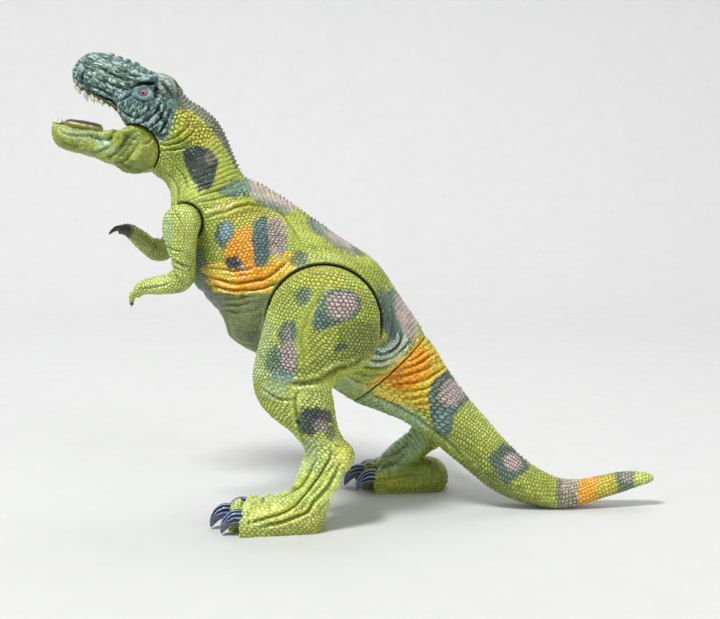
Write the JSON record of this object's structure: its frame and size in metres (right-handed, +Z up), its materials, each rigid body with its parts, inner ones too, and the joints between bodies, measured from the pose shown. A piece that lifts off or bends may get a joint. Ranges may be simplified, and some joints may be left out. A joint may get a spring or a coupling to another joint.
{
  "type": "jointed toy dinosaur figure",
  "caption": "Striding toy theropod with an open mouth; its jaw, arms, legs and tail turn on pegs held in two hollow moulded half shells.",
  "frame": {"origin": "on the table, under the middle of the figure's bounding box", "axes": "-X the way the figure faces, +X towards the tail's tip, +Y the figure's right side, +Z up"},
  "size_m": [0.306, 0.0966, 0.2321],
  "materials": {
    "body_skin": "scaly moulded skin, painted in green, teal, lilac and orange patches",
    "limb_skin": "scaly moulded skin, painted in patches, dark claws",
    "tail_skin": "scaly moulded skin with painted bands",
    "jaw_skin": "smoother moulded skin",
    "tooth_ivory": "satin ivory with a darker wash at the roots",
    "mouth_lining": "satin olive brown",
    "inner_plastic": "plain moulded",
    "fastener_steel": "zinc plated"
  },
  "bodies": {
    "body": {"body_shell_left": "body_skin", "body_shell_right": "body_skin", "body_screw_1": "fastener_steel", "body_screw_2": "fastener_steel", "body_screw_3": "fastener_steel", "body_screw_4": "fastener_steel", "body_screw_5": "fastener_steel", "jaw_axle": "fastener_steel", "upper_teeth": "tooth_ivory"},
    "jaw": {"lower_jaw": "jaw_skin", "mouth_floor": "mouth_lining"},
    "left_arm": {"arm_left": "limb_skin", "shoulder_retainer_left": "inner_plastic"},
    "right_arm": {"arm_right": "limb_skin", "shoulder_retainer_right": "inner_plastic"},
    "left_leg": {"leg_left": "limb_skin", "hip_washer_left": "inner_plastic", "hip_screw_left": "fastener_steel"},
    "right_leg": {"leg_right": "limb_skin", "hip_washer_right": "inner_plastic", "hip_screw_right": "fastener_steel"},
    "tail": {"tail": "tail_skin", "tail_plug": "inner_plastic", "tail_screw": "fastener_steel"}
  },
  "joints": [
    {"name": "jaw_hinge", "type": "hinge", "parent": "body", "child": "jaw", "pos_m": [-0.11001, 0, 0.18486], "axis": [0, 1, 0], "range_deg": [-5, 20]},
    {"name": "left_shoulder", "type": "hinge", "parent": "body", "child": "left_arm", "pos_m": [-0.08599, 0, 0.14976], "axis": [0, 1, 0], "range_deg": [-20, 150]},
    {"name": "right_shoulder", "type": "hinge", "parent": "body", "child": "right_arm", "pos_m": [-0.08599, 0, 0.14976], "axis": [0, 1, 0], "range_deg": [-60, 105]},
    {"name": "left_hip", "type": "hinge", "parent": "body", "child": "left_leg", "pos_m": [-0.01759, 0, 0.10202], "axis": [0, 1, 0], "range_deg": [-60, 50]},
    {"name": "right_hip", "type": "hinge", "parent": "body", "child": "right_leg", "pos_m": [-0.01759, 0, 0.10202], "axis": [0, 1, 0], "range_deg": [-40, 70]},
    {"name": "tail_swivel", "type": "hinge", "parent": "body", "child": "tail", "pos_m": [0.01438, 0, 0.07441], "axis": [0.6649, 0, -0.747], "continuous": true}
  ]
}
